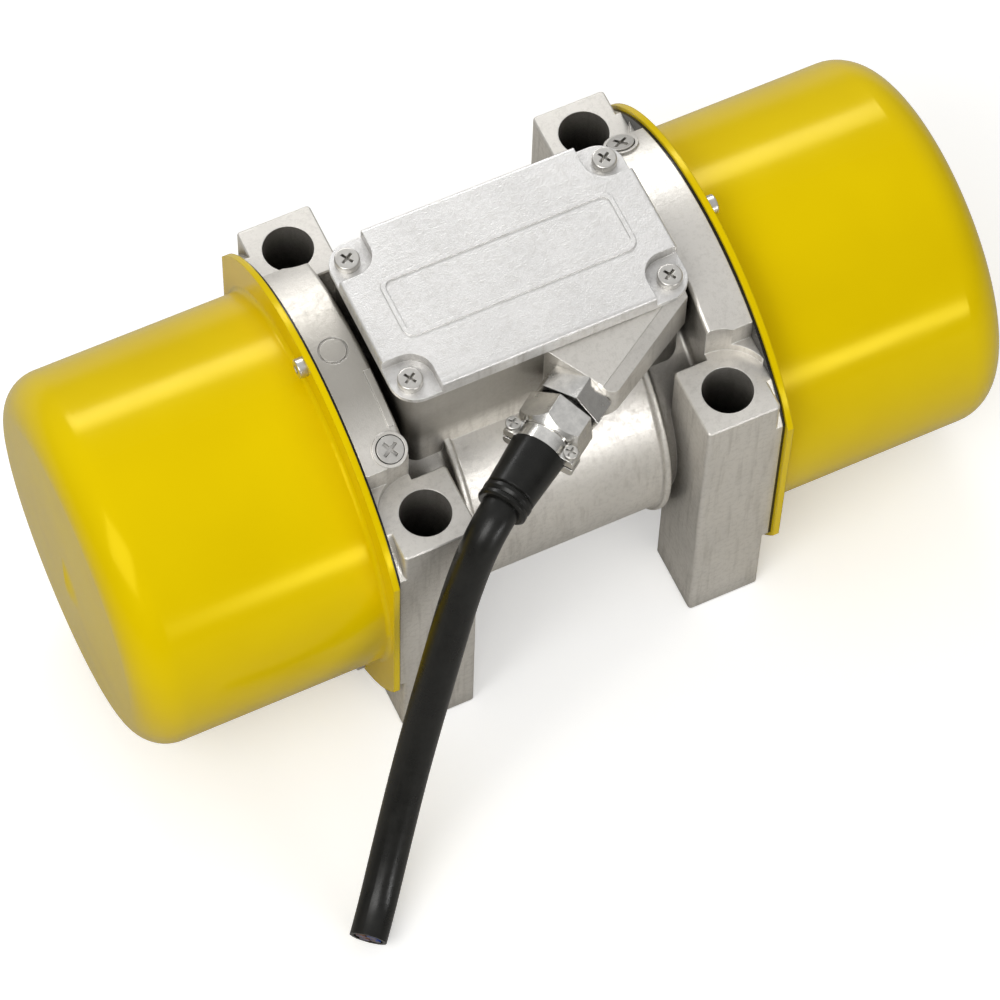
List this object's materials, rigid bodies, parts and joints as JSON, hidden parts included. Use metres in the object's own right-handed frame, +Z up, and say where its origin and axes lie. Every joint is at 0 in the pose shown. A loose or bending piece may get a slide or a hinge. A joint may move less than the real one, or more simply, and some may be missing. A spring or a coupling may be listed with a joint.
{
  "type": "external concrete vibrator motor",
  "caption": "Foot-mounted electric external concrete vibrator: cast motor housing, yellow end hoods over adjustable eccentric weights, terminal box on top, cable gland and cable.",
  "frame": {"origin": "centre of the rectangle of the four foot bolts, on the plane of the foot undersides", "axes": "+X along the motor axis, -Y towards the side of the cable gland, +Z up from the mounting surface"},
  "size_m": [0.326, 0.2123, 0.1635],
  "materials": {
    "cast_aluminium": "cast, lightly shot-blasted",
    "hood_paint": "gloss enamel",
    "cast_iron": "machined cast iron",
    "weight_steel": "flame-cut and machined",
    "machined_steel": "ground",
    "bearing_steel": "polished",
    "cage_brass": "machined",
    "terminal_brass": "plain",
    "zinc_screws": "zinc plated",
    "nickel_plate": "nickel plated",
    "black_rubber": "satin",
    "core_insulation": "satin",
    "lamination_steel": "varnished laminations",
    "winding_copper": "enamelled and varnished copper wire",
    "cage_aluminium": "die cast",
    "block_plastic": "moulded"
  },
  "bodies": {
    "housing": {"band_plugs": "zinc_screws", "bearing_cover_left": "cast_iron", "bearing_cover_right": "cast_iron", "bearing_outer_ring_left": "bearing_steel", "bearing_outer_ring_right": "bearing_steel", "bearing_shield_left": "cast_iron", "bearing_shield_right": "cast_iron", "block_screws": "zinc_screws", "cable_boot": "black_rubber", "cable_clamp": "nickel_plate", "cable_cores": "core_insulation", "cable_jacket": "black_rubber", "clamp_screws": "zinc_screws", "cover_screws": "zinc_screws", "earth_screw": "zinc_screws", "earth_wire": "core_insulation", "gland_body": "nickel_plate", "gland_nut": "nickel_plate", "gland_ring": "black_rubber", "gland_seal": "black_rubber", "hood_gasket_left": "black_rubber", "hood_gasket_right": "black_rubber", "housing": "cast_aluminium", "lid_gasket": "black_rubber", "motor_leads": "core_insulation", "shield_screws": "zinc_screws", "stator_core": "lamination_steel", "stator_winding": "winding_copper", "supply_wires": "core_insulation", "terminal_block": "block_plastic", "terminal_links": "terminal_brass", "terminal_studs": "terminal_brass"},
    "rotor": {"shaft": "machined_steel", "rotor_core": "lamination_steel", "rotor_cage": "cage_aluminium", "weight_keys": "machined_steel", "shaft_washers": "machined_steel", "shaft_nuts": "machined_steel", "bearing_inner_ring_left": "bearing_steel", "bearing_inner_ring_right": "bearing_steel", "spacer_sleeve_left": "machined_steel", "spacer_sleeve_right": "machined_steel", "fixed_weight_left": "weight_steel", "fixed_weight_right": "weight_steel", "index_disc_left": "weight_steel", "index_disc_right": "weight_steel"},
    "left_roller_set": {"bearing_rollers_left": "bearing_steel", "bearing_cage_left": "cage_brass"},
    "right_roller_set": {"bearing_rollers_right": "bearing_steel", "bearing_cage_right": "cage_brass"},
    "left_adjustable_weight": {"adjustable_weight_left": "weight_steel", "ear_screw_left": "zinc_screws"},
    "right_adjustable_weight": {"adjustable_weight_right": "weight_steel", "ear_screw_right": "zinc_screws"},
    "left_hood": {"hood_left": "hood_paint", "hood_screws_left": "zinc_screws"},
    "right_hood": {"hood_right": "hood_paint", "hood_screws_right": "zinc_screws"},
    "terminal_cover": {"terminal_lid": "cast_aluminium", "lid_screws": "zinc_screws"}
  },
  "joints": [
    {"name": "rotor_spin", "type": "hinge", "parent": "housing", "child": "rotor", "pos_m": [0, 0, 0.074], "axis": [1, 0, 0], "continuous": true},
    {"name": "left_roller_orbit", "type": "hinge", "parent": "housing", "child": "left_roller_set", "pos_m": [0, 0, 0.074], "axis": [1, 0, 0], "continuous": true},
    {"name": "right_roller_orbit", "type": "hinge", "parent": "housing", "child": "right_roller_set", "pos_m": [0, 0, 0.074], "axis": [1, 0, 0], "continuous": true},
    {"name": "left_weight_setting", "type": "hinge", "parent": "rotor", "child": "left_adjustable_weight", "pos_m": [0, 0, 0.074], "axis": [1, 0, 0], "range_deg": [0, 180]},
    {"name": "right_weight_setting", "type": "hinge", "parent": "rotor", "child": "right_adjustable_weight", "pos_m": [0, 0, 0.074], "axis": [1, 0, 0], "range_deg": [0, 180]},
    {"name": "left_hood_removal", "type": "slide", "parent": "housing", "child": "left_hood", "axis": [-1, 0, 0], "range_m": [0, 0.1]},
    {"name": "right_hood_removal", "type": "slide", "parent": "housing", "child": "right_hood", "axis": [1, 0, 0], "range_m": [0, 0.1]},
    {"name": "terminal_lid_removal", "type": "slide", "parent": "housing", "child": "terminal_cover", "axis": [0, 0, 1], "range_m": [0, 0.04]}
  ],
  "couplings": [
    {"joint": "left_roller_orbit", "follows": "rotor_spin", "ratio": 0.38636},
    {"joint": "right_roller_orbit", "follows": "rotor_spin", "ratio": 0.38636}
  ]
}
